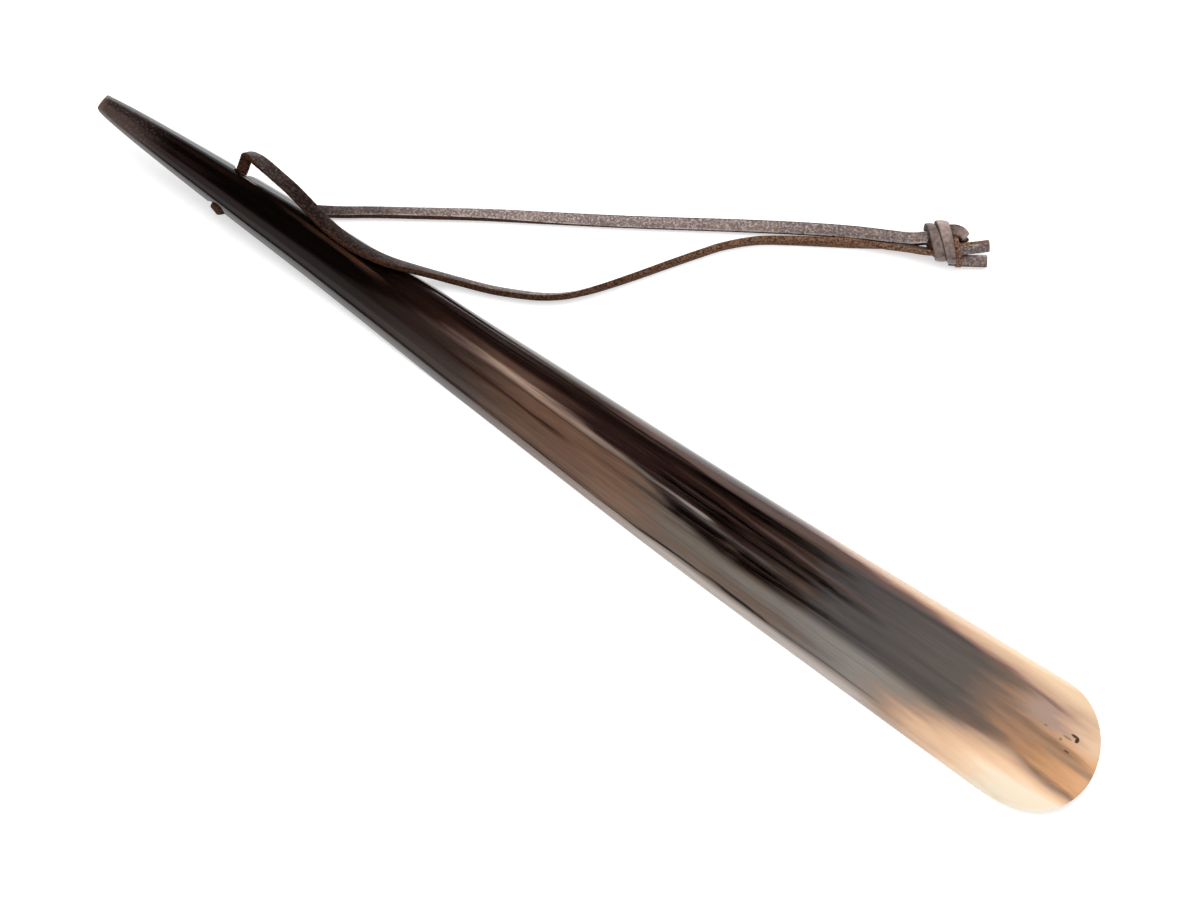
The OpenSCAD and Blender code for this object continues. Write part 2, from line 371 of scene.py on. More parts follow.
@dataclass(frozen=True)
class HornFinish:
    """Polished natural horn: near black handle, streaked brown blade, cream lip."""

    jet: Colour = srgb("040201")
    bark: Colour = srgb("26140f")
    soot: Colour = srgb("2c201b")
    peat: Colour = srgb("3a2c25")
    russet: Colour = srgb("573829")
    rust: Colour = srgb("3d2b24")
    wine: Colour = srgb("221211")
    mauve: Colour = srgb("66504a")
    vein: Colour = srgb("927768")
    pearl: Colour = srgb("b39683")
    taupe: Colour = srgb("644839")
    fawn: Colour = srgb("6e5241")
    slate: Colour = srgb("4a4645")
    graphite: Colour = srgb("524d4b")
    ash: Colour = srgb("6c6259")
    pebble: Colour = srgb("7a746e")
    dove: Colour = srgb("8d8780")
    silver: Colour = srgb("938d86")
    umber: Colour = srgb("7d6352")
    tan: Colour = srgb("9b7c64")
    honey: Colour = srgb("ffdcb8")
    cream: Colour = srgb("ffedd2")
    # A pale colour used as a painted floor reflection along the near rim and as a painted highlight at
    # the bore's far mouth.
    rim: Colour = srgb("cdbdb3")
    # A painted reflection along the far rim.
    far_rim_reflection: Colour = srgb("a09389")
    scar: Colour = srgb("351d10")

    def streaks(self) -> tuple[Streak, ...]:
        """Lists the streaks that show from above.

        Returns:
            The streaks, in the order they are laid on.
        """
        return (
            Streak(-108, -84, 0.36, 0.16, 0.05, 0.07, self.russet, 0.4, 14),
            Streak(-99, -80, 0.32, 0.2, 0.05, 0.06, self.russet, 0.65, 8),
            Streak(-152, -138, -0.2, -0.2, 0.14, 0.1, self.wine, 0.7, 8),
            Streak(-160, -128, 0.36, 0.36, 0.1, 0.1, self.bark, 0.5, 10),
            Streak(-46, -10, 0.32, 0.28, 0.075, 0.07, srgb("5a4034"), 0.7, 12),
            Streak(-34, -20, 0.24, 0.25, 0.05, 0.05, self.taupe, 0.6, 10),
            Streak(-44, -8, 0.12, 0.06, 0.08, 0.06, self.vein, 0.95, 14),
            Streak(-36, -14, 0.1, 0.03, 0.055, 0.05, self.pearl, 0.8, 8),
            Streak(-30, 8, 0.03, 0.0, 0.05, 0.04, self.vein, 0.75, 12),
            Streak(-56, -30, 0.02, 0.02, 0.06, 0.06, self.mauve, 0.6, 14),
            Streak(-4, 44, 0.0, -0.05, 0.022, 0.025, self.silver, 0.4, 12),
            Streak(31, 44, -0.03, -0.05, 0.024, 0.016, self.silver, 0.6, 4),
            Streak(-52, 60, -0.065, -0.095, 0.008, 0.009, self.bark, 0.55, 10),
            Streak(-44, -4, -0.36, -0.37, 0.024, 0.03, self.bark, 0.75, 10),
            Streak(-20, -6, -0.39, -0.41, 0.035, 0.03, self.bark, 0.55, 5),
            Streak(-60, -36, -0.3, -0.34, 0.06, 0.06, self.bark, 0.7, 10),
            Streak(4, 30, -0.3, -0.28, 0.04, 0.04, self.peat, 0.5, 10),
            Streak(-66, -30, -0.7, -0.7, 0.06, 0.05, self.peat, 0.5, 10),
            Streak(-64, 26, 0.53, 0.52, 0.1, 0.06, srgb("150907"), 0.9, 14),
            Streak(-66, -30, 0.6, 0.6, 0.03, 0.02, self.jet, 0.9, 8),
            Streak(-60, -22, 0.77, 0.72, 0.022, 0.018, self.jet, 0.9, 8),
            Streak(-66, -38, 0.85, 0.84, 0.03, 0.02, self.jet, 0.95, 6),
            Streak(-26, 28, 0.7, 0.68, 0.022, 0.022, self.jet, 0.9, 10),
            Streak(-8, 24, 0.21, 0.2, 0.035, 0.035, self.wine, 0.9, 10),
            Streak(-6, 22, 0.12, 0.1, 0.03, 0.03, self.wine, 0.75, 8),
            Streak(28, 82, 0.6, 0.53, 0.07, 0.035, self.jet, 1.0, 14),
            Streak(76, 132, 0.56, 0.66, 0.035, 0.035, self.slate, 0.75, 14),
            Streak(26, 92, 0.29, 0.13, 0.05, 0.035, self.jet, 1.0, 14),
            Streak(22, 52, 0.13, 0.08, 0.07, 0.035, self.jet, 1.0, 6),
            Streak(44, 80, 0.06, 0.03, 0.03, 0.03, self.jet, 0.85, 12),
            Streak(30, 68, -0.1, -0.12, 0.03, 0.03, self.graphite, 0.8, 10),
            Streak(28, 72, -0.22, -0.28, 0.12, 0.05, self.jet, 0.85, 8),
            Streak(6, 26, -0.68, -0.78, 0.16, 0.1, srgb("7f6250"), 0.7, 10),
            Streak(26, 84, -0.76, -0.78, 0.06, 0.06, self.fawn, 0.6, 14),
            Streak(54, 112, -0.56, -0.55, 0.06, 0.07, self.dove, 0.45, 16),
            Streak(62, 94, -0.29, -0.28, 0.045, 0.04, self.jet, 0.8, 12),
            Streak(26, 56, 0.22, 0.19, 0.02, 0.02, self.rust, 0.5, 8),
            Streak(30, 92, 0.45, 0.22, 0.026, 0.03, self.rust, 0.9, 10),
            Streak(60, 98, 0.36, 0.22, 0.03, 0.03, self.mauve, 0.55, 10),
            Streak(84, 128, -0.05, -0.04, 0.025, 0.03, self.slate, 0.6, 12),
            Streak(96, 140, -0.28, -0.24, 0.06, 0.05, self.slate, 0.5, 14),
            Streak(112, 144, 0.45, 0.5, 0.07, 0.05, self.graphite, 0.4, 10),
            Streak(142, 170, 0.13, 0.07, 0.06, 0.05, self.umber, 0.75, 10),
            Streak(152, 178, -0.02, -0.04, 0.04, 0.03, self.tan, 0.8, 8),
            Streak(158, 180, -0.36, -0.55, 0.06, 0.05, self.umber, 0.85, 8),
            # Painted highlight on the rim of the bore's far mouth.
            Streak(-128.5, -124.5, 0.6, 0.64, 0.03, 0.02, self.rim, 0.7, 2),
            Streak(-146, -106, -0.84, -0.84, 0.012, 0.014, self.jet, 0.9, 8),
            Streak(-104, 30, -0.88, -0.905, 0.01, 0.009, self.bark, 1.2, 8),
            Streak(24, 54, -0.9, -0.85, 0.011, 0.008, self.bark, 1.3, 6),
            Streak(50, 74, -0.845, -0.87, 0.016, 0.009, self.bark, 1.3, 5),
            Streak(70, 130, -0.86, -0.875, 0.01, 0.01, self.mauve, 0.9, 8),
        )

    @staticmethod
    def pits() -> tuple[Pit, ...]:
        """Lists the small pit by the lip and the marks beside it.

        Returns:
            The marks, in the order they are laid on.
        """
        return (
            Pit(164.2, 0.325, 1.3, 0.02, 0.9),
            Pit(165.3, 0.29, 0.6, 0.04, 0.95),
            Pit(162.6, 0.25, 1.5, 0.014, 0.5),
            Pit(161.2, 0.18, 0.5, 0.02, 0.5),
            Pit(164.6, 0.08, 0.9, 0.014, 0.7),
            Pit(155.5, 0.23, 0.6, 0.014, 0.4),
        )

    def dress(self, piece: bpy.types.Object) -> None:
        """Gives the horn its material.

        Args:
            piece: the finished horn mesh, which carries its "grain" attribute.
        """
        material, shader = open_material("polished_horn")
        along, across, inside = shader.attribute("grain")
        wobble = shader.noise(shader.point(along * 0.022, across * 1.1, inside), 1.0) - 0.5
        ripple = shader.noise(shader.point(along * 0.06, across * 9.0, inside * 2.0), 3.0) - 0.5
        lean = across + wobble * 0.07 + ripple * 0.04
        colour = self._ground(shader, along, lean, ripple)
        patchy = shader.noise(shader.point(along * 0.08, lean * 16.0, 7.0), 3.0, 0.6)
        worn = patchy.ease(0.3, 0.55) * 0.45 + 0.65
        for streak in self.streaks():
            colour = shader.mix(streak.mask(along + ripple * 22.0, lean) * worn, colour, streak.colour)
        colour = self._fibres(shader, along, lean, colour)
        colour = self._pale_margins(shader, along, lean, ripple, colour)
        colour = self._worn_tip(shader, along, across, inside, colour)
        for pit in self.pits():
            colour = shader.mix(pit.mask(along, across), colour, self.scar)
        fine = shader.noise(shader.point(along * 0.25, across * 60.0, inside * 4.0), 3.0, 0.6)
        waves = shader.noise(shader.point(along * 0.03, across * 1.6, inside), 1.0)
        polish = 0.14 + fine * 0.12 + along.ease(-150.0, -172.0) * 0.2
        coat = 0.95 - along.ease(-60.0, 10.0) * 0.65 - along.ease(-152.0, -168.0) * 0.5
        height = waves + fine * 0.004
        shader.surface({
            "Base Color": colour,
            "Roughness": polish,
            "IOR": 1.56,
            "Coat Weight": coat,
            "Coat Roughness": 0.1,
            "Normal": shader.bump(height, 0.5, 0.5),
        })
        piece.data.materials.clear()
        piece.data.materials.append(material)

    @staticmethod
    def _lane(shader: Shader, along: Value, stops: Stops) -> Value:
        """Colour of one flank of the horn along its length.

        Args:
            shader: the material's builder.
            along: millimetres along the horn.
            stops: places in millimetres and the colours there.

        Returns:
            The colour.
        """
        half = HORN_LENGTH / 2
        shares = tuple(((place + half) / HORN_LENGTH, colour) for place, colour in stops)
        return shader.ramp((along + half) / HORN_LENGTH, shares)

    def _ground(self, shader: Shader, along: Value, across: Value, ripple: Value) -> Value:
        """Colour of the horn's body below the streaks: its crown, near flank and far flank, with painted
        shade on the far flank and a painted floor reflection along the near rim.

        Args:
            shader: the material's builder.
            along: millimetres along the horn.
            across: wavering place across it.
            ripple: fine streaky noise around 0.

        Returns:
            The colour.
        """
        shaken = along + ripple * 24.0
        crown = self._lane(shader, shaken, (
            (-175, self.bark), (-158, self.jet), (-78, self.jet), (-56, self.bark), (-15, self.bark),
            (15, self.bark), (55, self.bark), (74, self.peat), (86, self.slate), (102, self.graphite),
            (128, srgb("5f564f")), (140, srgb("7a6455")), (150, srgb("a37a5d")), (160, srgb("be8d63")),
            (170, srgb("d8a173")), (175, srgb("dfaa7c")),
        ))
        near = self._lane(shader, shaken, (
            (-175, self.peat), (-158, self.wine), (-84, srgb("180f0d")), (-60, self.soot),
            (-42, self.peat), (-20, self.taupe), (16, self.fawn), (36, self.ash), (62, self.ash),
            (85, self.pebble), (104, self.dove), (130, srgb("94816f")),
        ))
        far = self._lane(shader, shaken, (
            (-175, self.bark), (-158, self.jet), (-74, self.jet), (-56, self.bark), (-30, self.peat),
            (-6, self.peat), (16, self.mauve), (55, srgb("62524d")), (80, self.mauve),
            (105, srgb("725f59")),
        ))
        edge = across + along.ease(12.0, 54.0) * 0.4 + along.ease(-60.0, -95.0) * 0.36
        body = shader.mix(edge.ease(0.04, -0.13), crown, near)
        body = shader.mix(across.ease(0.6, 0.72), body, far)
        # Painted shade: the far flank near its rim darkened from about 5 to 88 mm along.
        painted_far_shade = across.ease(0.77, 0.87) * along.ease(5.0, 30.0) * along.ease(88.0, 66.0)
        body = shader.mix(painted_far_shade * 0.8, body, self.wine)
        # Painted reflection of the floor along the near rim.
        return shader.mix(across.ease(-0.86, -0.96) * along.ease(-30.0, 60.0) * 0.8, body, self.rim)

    def _fibres(self, shader: Shader, along: Value, across: Value, colour: Value) -> Value:
        """Lays fine dark and pale fibres over the colour, and mottles the blade.

        Args:
            shader: the material's builder.
            along: millimetres along the horn.
            across: wavering place across it.
            colour: what lies below.

        Returns:
            The colour with fibres.
        """
        dark = shader.noise(shader.point(along * 0.018, across * 26.0, 3.0), 3.0, 0.65)
        pale = shader.noise(shader.point(along * 0.02, across * 34.0, 9.0), 3.0, 0.65)
        mottle = shader.noise(shader.point(along * 0.05, across * 6.0, 5.0), 2.0)
        blade = along.ease(-60.0, -20.0) * along.ease(110.0, 60.0)
        colour = shader.mix(mottle.ease(0.52, 0.8) * blade * 0.4, colour, self.wine)
        lit = mottle.ease(0.48, 0.22) * blade * across.ease(0.1, -0.1)
        colour = shader.mix(lit * 0.2, colour, self.tan)
        colour = shader.mix(dark.ease(0.45, 0.75) * along.ease(150.0, 90.0) * 0.26, colour, self.bark)
        return shader.mix(pale.ease(0.5, 0.8) * along.ease(-70.0, -30.0) * 0.16, colour, self.vein)

    def _pale_margins(
        self, shader: Shader, along: Value, across: Value, ripple: Value, colour: Value
    ) -> Value:
        """Turns the margins and the lip honey and cream, where the horn is thin and pale, and lays a
        painted reflection along the far rim.

        Args:
            shader: the material's builder.
            along: millimetres along the horn.
            across: wavering place across it.
            ripple: fine streaky noise around 0.
            colour: what lies below.

        Returns:
            The colour with its pale margins.
        """
        bend = (across + 0.85).most(0.0) / 0.45
        far = (along - 46.0 - (0.92 - across).most(0.0) * 260.0 + ripple * 26.0) / 64.0
        hold = 30.0 + along.ease(150.0, 168.0) * 38.0
        near = (along - 101.0 - bend * bend * hold + ripple * 24.0) / 50.0
        beige = self._lane(shader, along + ripple * 16.0, (
            (140, srgb("84705f")), (150, srgb("a88c7c")), (156, srgb("ae9080")), (162, srgb("c8a288")),
            (170, srgb("e6c2a0")),
        ))
        colour = shader.mix(across.ease(0.1, 0.3) * along.ease(140.0, 152.0), colour, beige)
        thin = shader.ramp(far / 1.4, (
            (0.0, self.mauve), (0.14, srgb("7d635c")), (0.25, srgb("987769")), (0.39, srgb("c6a186")),
            (0.56, srgb("d8b698")), (0.71, srgb("e2be9c")), (1.0, srgb("efcfac")),
        ))
        kept = along.ease(154.0, 164.0) * far.ease(0.85, 0.45)
        colour = shader.mix(far.ease(0.0, 0.3) * (1.0 - kept), colour, thin)
        # Painted reflection of the floor along the far rim.
        edge = across.ease(0.92, 0.97) * along.ease(140.0, 110.0)
        colour = shader.mix(edge * 0.2, colour, self.far_rim_reflection)
        pale = shader.ramp(near, (
            (0.0, srgb("8f7d74")), (0.3, srgb("b8977f")), (0.5, srgb("dfb795")), (0.7, srgb("f5cba6")),
            (0.85, self.honey), (1.0, self.cream),
        ))
        return shader.mix(near.ease(0.0, 0.35), colour, pale)

    def _worn_tip(
        self, shader: Shader, along: Value, across: Value, inside: Value, colour: Value
    ) -> Value:
        """Scuffs the handle's end with pale flecks.

        Args:
            shader: the material's builder.
            along: millimetres along the horn.
            across: place across it.
            inside: place through it.
            colour: what lies below.

        Returns:
            The colour with the scuffs.
        """
        flecks = shader.noise(shader.point(along * 1.5, across * 6.0, inside * 4.0), 3.0, 0.7)
        worn = along.ease(-148.0, -168.0)
        rubbed = shader.mix(across.ease(0.1, -0.2), srgb("2a1b18"), srgb("4b3832"))
        colour = shader.mix(worn * 0.85, colour, rubbed)
        colour = shader.mix(along.ease(-172.5, -174.8) * 0.45, colour, self.umber)
        return shader.mix(flecks.ease(0.52, 0.72) * worn * 0.4, colour, self.silver)


@dataclass
class Horn:
    """The horn: solid handle, hollow blade and rounded lip in one piece, with its cross bore."""

    length: float = HORN_LENGTH
    tip_width: float = 5.4
    blade_width: float = 41.0
    taper_power: float = 0.72
    lip_length: float = 23.0
    lip_lean: float = -3.0
    tip_rise: float = 16.0
    rise_length: float = 135.0
    rise_power: float = 1.3
    tip_ease: float = 1.5
    nose: tuple[float, ...] = (0.0, 0.04, 0.16, 0.42)
    hollow_from: float = -90.0
    hollow_over: float = 40.0
    bore_x: float = -130.0
    bore_radius: float = 2.8
    bore_tilt: float = 8.0
    mouth_radius: float = 4.2
    mouth_depth: float = 2.0
    mouth_run: float = 2.2
    drill_past: float = 6.0
    drill_flare: float = 3.0
    drill_sides: int = 48
    steps: int = 20
    body_step: float = 6.0
    lip_rings: int = 9
    lip_turn: float = 87.5
    rim_hold: float = 0.25
    sweep: tuple[Station, ...] = (
        (-175, -6.2), (-130, -4), (-90, -2.35), (-40, -1.9), (40, -2.1), (110, -0.9), (175, 0.5),
    )
    crown: tuple[Station, ...] = (
        (-175, 3), (-130, 5), (-60, 7), (0, 8.2), (90, 9), (140, 7.8), (175, 5.5),
    )
    solid: tuple[Station, ...] = (
        (-175, 5.8), (-130, 9.6), (-105, 9.7), (-60, 6.6), (-20, 3.4), (30, 2.7), (110, 2.15),
        (175, 1.6),
    )
    rim: tuple[Station, ...] = ((-175, 0.5), (-130, 1), (-60, 1.6), (0, 2), (140, 1.6), (175, 1.2))
    finish: HornFinish = field(default_factory=HornFinish)

    def middle_z(self, x: float) -> float:
        """Height of the handle's middle line above the rims."""
        rest = max(0.0, -self.length / 2 + self.rise_length - x) / self.rise_length
        return self.tip_rise * rest**self.rise_power

    def half_width(self, x: float) -> float:
        """Half the blade's width, before the lip is rounded."""
        along = max(0.0, x + self.length / 2) / (self.length - self.lip_length)
        return (self.tip_width + (self.blade_width - self.tip_width) * along**self.taper_power) / 2

    def lip_share(self, x: float) -> float:
        """How far along the lip a place is, from 0."""
        return max(0.0, (x - self.length / 2 + self.lip_length) / self.lip_length)

    def tip_share(self, x: float) -> float:
        """How full the rounded tip is at a place, up to 1."""
        inside = min(1.0, (x + self.length / 2) / self.tip_ease)
        return math.sqrt(max(0.0, 1 - (1 - inside) ** 2))

    def section(self, x: float) -> list[Vector]:
        """One closed ring: over the crown from far rim to near rim, then back below.

        Args:
            x: place along the horn.

        Returns:
            The ring's points, with its rim corners set out so that smoothing brings them back.
        """
        half, share = self.half_width(x), self.tip_share(x)
        outer = half * math.sqrt(max(0.0, 1 - self.lip_share(x) ** 2)) * (0.68 + 0.32 * share)
        rim = smooth_curve(self.rim, x)
        inner = max(outer - rim, outer / 2)
        hollow = min(1.0, max(0.0, (x - self.hollow_from) / self.hollow_over))
        rise = smooth_curve(self.crown, x)
        under = rise - smooth_curve(self.solid, x)
        tall = 0.6 + 0.4 * share
        lean = self.lip_lean * self.lip_share(x) ** 2

        def arch(y: float, reach: float) -> float:
            """Height share of an arch at a place across it."""
            return math.sqrt(max(0.0, 1 - (y / reach) ** 2))

        def spot(y: float, height: float, reach: float) -> Vector:
            """A point of the ring, in the part's frame."""
            z = self.middle_z(x) + tall * height * arch(y, reach)
            return Vector((x, smooth_curve(self.sweep, x) + y, z))

        turns = [math.cos(math.pi * i / self.steps) for i in range(self.steps + 1)]
        top = [spot(lean + outer * c, rise, half) for c in turns]
        low = [spot(lean + inner * c, under, half - rim * hollow) for c in reversed(turns)]
        ring = top + low
        held = list(ring)
        for i in (0, self.steps, self.steps + 1, len(ring) - 1):
            before, after = ring[i - 1], ring[(i + 1) % len(ring)]
            held[i] = ring[i] + (2 * ring[i] - before - after) * self.rim_hold
        return held

    def stations(self) -> list[float]:
        """Spaces the rings along the horn.

        Returns:
            The places of the rings from tip to lip.
        """
        tip, lip = -self.length / 2, self.length / 2 - self.lip_length
        count = round((lip - tip - self.tip_ease) / self.body_step)
        body = [tip + self.tip_ease + (lip - tip - self.tip_ease) * i / count for i in range(count)]
        turns = [math.radians(self.lip_turn * i / self.lip_rings) for i in range(self.lip_rings + 1)]
        rounded = [lip + self.lip_length * math.sin(turn) for turn in turns]
        nose = [tip + share * self.tip_ease for share in self.nose]
        return nose + body + rounded

    def build(self) -> bpy.types.Object:
        """Draws the horn ring by ring from a disc at its tip, smooths it and drills the bore.

        Returns:
            The finished piece.
        """
        places = self.stations()
        ring = self.section(places[0])
        bpy.ops.object.select_all(action="DESELECT")
        bpy.ops.mesh.primitive_circle_add(vertices=len(ring), radius=1.0, fill_type="NGON")
        piece = bpy.context.object
        piece.name = piece.data.name = "horn_skin"
        bpy.ops.object.mode_set(mode="EDIT")
        mesh = bmesh.from_edit_mesh(piece.data)
        for vertex, spot in zip(mesh.verts, ring):
            vertex.co = spot * MM
        bmesh.update_edit_mesh(piece.data)
        for before, x in zip(places, places[1:]):
            step = Vector(((x - before) * MM, 0.0, 0.0))
            bpy.ops.mesh.extrude_region_move(TRANSFORM_OT_translate={"value": step})
            ring = self._reshape(piece, ring, step / MM, self.section(x))
        bpy.ops.mesh.select_all(action="SELECT")
        bpy.ops.mesh.normals_make_consistent(inside=False)
        bpy.ops.object.mode_set(mode="OBJECT")
        smoothing = piece.modifiers.new("smooth", "SUBSURF")
        smoothing.levels = smoothing.render_levels = 2
        bpy.ops.object.modifier_apply(modifier=smoothing.name)
        self._drill(piece)
        bpy.ops.object.shade_smooth_by_angle(angle=math.radians(40))
        self._lay_grain(piece)
        return piece

    @staticmethod
    def _reshape(
        piece: bpy.types.Object, old: list[Vector], step: Vector, new: list[Vector]
    ) -> list[Vector]:
        """Moves the corners of the face just drawn out to their places in the new ring.

        Args:
            piece: the horn in edit mode, with that face selected.
            old: the last ring.
            step: how far the face was drawn out.
            new: the ring that it takes.

        Returns:
            The new ring.
        """
        mesh = bmesh.from_edit_mesh(piece.data)
        corners = [vertex for vertex in mesh.verts if vertex.select]
        for vertex in corners:
            here = vertex.co / MM - step
            nearest = min(range(len(old)), key=lambda i: (old[i] - here).length_squared)
            vertex.co = new[nearest] * MM
        bmesh.update_edit_mesh(piece.data)
        return new

    def _drill(self, piece: bpy.types.Object) -> None:
        """Cuts the cross bore with its rounded mouths.

        Args:
            piece: the smoothed horn.
        """
        half = self.half_width(self.bore_x)
        bpy.ops.object.select_all(action="DESELECT")
        bpy.ops.mesh.primitive_circle_add(
            vertices=self.drill_sides, radius=self.bore_radius * MM, fill_type="NGON"
        )
        drill = bpy.context.object
        bpy.ops.object.mode_set(mode="EDIT")
        flare = self.mouth_radius - self.bore_radius
        neck = half - self.mouth_depth
        profile = [(0.0, 0.0), (neck, 0.0)]
        for turn in (0.4, 0.8, 1.2, 1.5):
            profile.append((neck + self.mouth_run * math.sin(turn), flare * (1 - math.cos(turn))))
        profile.append((half + self.drill_past, flare + self.drill_flare))
        for (before, wide), (after, wider) in zip(profile, profile[1:]):
            step = (0, 0, (after - before) * MM)
            bpy.ops.mesh.extrude_region_move(TRANSFORM_OT_translate={"value": step})
            grow = (self.bore_radius + wider) / (self.bore_radius + wide)
            bpy.ops.transform.resize(value=(grow, grow, 1.0))
        bpy.ops.mesh.select_all(action="SELECT")
        bpy.ops.mesh.normals_make_consistent(inside=False)
        bpy.ops.object.mode_set(mode="OBJECT")
        mirror = drill.modifiers.new("both_ways", "MIRROR")
        mirror.use_axis = (False, False, True)
        mirror.use_bisect_axis = (False, False, True)
        mirror.use_mirror_merge = True
        bpy.ops.object.modifier_apply(modifier=mirror.name)
        aside = smooth_curve(self.sweep, self.bore_x)
        place = Vector((self.bore_x, aside, self.middle_z(self.bore_x))) * MM
        lay = Matrix.Rotation(math.radians(90 + self.bore_tilt), 4, "X")
        drill.data.transform(Matrix.Translation(place) @ lay)
        bpy.ops.object.select_all(action="DESELECT")
        bpy.context.view_layer.objects.active = piece
        piece.select_set(True)
        cut = piece.modifiers.new("bore", "BOOLEAN")
        cut.operation = "DIFFERENCE"
        cut.solver = "EXACT"
        cut.object = drill
        bpy.ops.object.modifier_apply(modifier=cut.name)
        bpy.data.objects.remove(drill)

    def _lay_grain(self, piece: bpy.types.Object) -> None:
        """Writes each point's place along, across and through the horn, which the finish reads.

        Args:
            piece: the finished mesh.
        """
        grain = piece.data.attributes.new("grain", "FLOAT_VECTOR", "POINT")
        for vertex, cell in zip(piece.data.vertices, grain.data):
            x, y, z = vertex.co / MM
            half = self.half_width(x)
            across = (y - smooth_curve(self.sweep, x)) / half
            top = smooth_curve(self.crown, x) * math.sqrt(max(0.0, 1 - min(1.0, abs(across)) ** 2))
            deep = (self.middle_z(x) + top - z) / smooth_curve(self.solid, x)
            cell.vector = (x, across, min(1.0, max(0.0, deep)))

    def dress(self, piece: bpy.types.Object) -> None:
        """Finishes the horn and puts it in the frame.

        Args:
            piece: the built horn.
        """
        self.finish.dress(piece)
        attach(piece, "root")
        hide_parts("horn_blade")


@dataclass(frozen=True)
class LeatherFinish:
    """Dark brown lace leather: pebbled grain, raw cut edges, and grain pulled tight in the knot.

    Each material reads the strip's "lie" attribute: wear and painted sheen, place across, and tone of
    the edges, which is partly painted light.
    """

    fresh_low: Colour = srgb("180c09")
    fresh_high: Colour = srgb("4c352b")
    # Pale colours of worn grain, also used as a painted sheen where the lace faces the light.
    worn_sheen_low: Colour = srgb("73635f")
    worn_sheen_high: Colour = srgb("cdbdb8")
    scuffed: Colour = srgb("a88d75")
    # A painted highlight along one long edge of the grain face.
    edge_highlight: Colour = srgb("c6b9b4")
    raw_low: Colour = srgb("22130d")
    raw_high: Colour = srgb("553626")
    # Paler edge colours: partly rubbed leather, partly painted light.
    rubbed_lit_low: Colour = srgb("41281d")
    rubbed_lit_high: Colour = srgb("a67f64")
    tight: Colour = srgb("4c3b37")
    # The pale colour that the painted highlights on the knot take.
    tight_pale: Colour = srgb("ac9890")

    def grain_side(self) -> bpy.types.Material:
        """Makes the smooth side, paler where the lace is worn and where a sheen is painted on.

        Returns:
            The material.
        """
        leather, shader, wear_and_sheen, across, _ = self._start("lace_grain")
        pebble = shader.noise(self._lumps(shader, 1.5), 3.0, 0.7)
        scuff = shader.noise(self._lumps(shader, 0.3), 3.0, 0.6)
        # Paler by the strip's wear and painted sheen.
        low = shader.mix(wear_and_sheen, self.fresh_low, self.worn_sheen_low)
        high = shader.mix(wear_and_sheen, self.fresh_high, self.worn_sheen_high)
        face = shader.mix(pebble.ease(0.44, 0.7), low, high)
        face = shader.mix(scuff.ease(0.5, 0.7) * wear_and_sheen * 0.4, face, self.scuffed)
        # Painted highlight along one long edge of the grain face, broken up by the scuff noise.
        edge_highlight_share = across.ease(0.55, 0.9) * scuff.ease(0.35, 0.6) * wear_and_sheen.ease(0.1, 0.4)
        face = shader.mix(edge_highlight_share * 0.8, face, self.edge_highlight)
        self._end(shader, face, 0.4 + pebble * 0.2, 1.5, shader.bump(pebble, 0.12, 0.7))
        return leather

    def raw_side(self) -> bpy.types.Material:
        """Makes the cut edges and the flesh side, paler as their tone rises: partly rubbed leather,
        partly painted light.

        Returns:
            The material.
        """
        leather, shader, _, _, tone = self._start("lace_raw")
        fluff = shader.noise(self._lumps(shader, 1.8), 3.0, 0.75)
        low = shader.mix(tone, self.raw_low, self.rubbed_lit_low)
        high = shader.mix(tone, self.raw_high, self.rubbed_lit_high)
        colour = shader.mix(fluff.ease(0.38, 0.64), low, high)
        self._end(shader, colour, 0.85 + fluff * 0.1, 1.3, shader.bump(fluff, 0.2, 0.8))
        return leather

    def tight_side(self) -> bpy.types.Material:
        """Makes the grain side where it is pulled tight round the knot: smooth, with painted highlights,
        and painted shade along the edges where the bands meet.

        Returns:
            The material.
        """
        leather, shader, wear_and_sheen, across, _ = self._start("lace_tight")
        pores = shader.noise(self._lumps(shader, 1.8), 3.0, 0.6)
        glint_blotches = shader.noise(self._lumps(shader, 0.7), 3.0, 0.6)
        # Painted highlights on the bands, with blotchy painted glints from the noise.
        colour = shader.mix(wear_and_sheen + (glint_blotches - 0.5) * 1.3, self.tight, self.tight_pale)
        colour = shader.mix(pores.ease(0.5, 0.72) * 0.35, colour, self.raw_high)
        # Painted shade: the band's edges darkened where the bands meet and crease.
        colour = shader.mix(abs(across).ease(0.75, 1.0) * 0.85, colour, self.raw_low)
        rough = 0.2 + pores * 0.12 + abs(across).ease(0.8, 0.95) * 0.4
        self._end(shader, colour, rough, 1.5, shader.bump(pores, 0.04, 0.4))
        return leather

    @staticmethod
    def _start(name: str) -> tuple[bpy.types.Material, Shader, Value, Value, Value]:
        """Opens a material that reads how the strip lies.

        Args:
            name: the material's name.

        Returns:
            The material, its builder, and the strip's wear and painted sheen, place across and tone.
        """
        leather, shader = open_material(name)
        return leather, shader, *shader.attribute("lie")

    @staticmethod
    def _end(shader: Shader, colour: Value, rough: Value, index: float, normal: Value) -> None:
        """Closes a material with its surface.

        Args:
            shader: the material's builder.
            colour: its colour.
            rough: its roughness.
            index: its index of refraction.
            normal: its bumped normal.
        """
        shader.surface({"Base Color": colour, "Roughness": rough, "IOR": index, "Normal": normal})

    @staticmethod
    def _lumps(shader: Shader, lumps: float) -> Value:
        """Reads the place in the part at the scale of a noise.

        Args:
            shader: the material's builder.
            lumps: how many lumps of noise there are to the millimetre.

        Returns:
            The scaled place.
        """
        place = shader.node("ShaderNodeTexCoord", None, None, "Object")
        scale = lumps / MM
        return shader.node("ShaderNodeVectorMath", {"operation": "SCALE"}, {0: place, "Scale": scale}, 0)


@dataclass(frozen=True)
class Ring:
    """One cross section of a strip: its middle, the way its width points and the way its grain faces."""

    middle: Vector
    side: Vector
    face: Vector


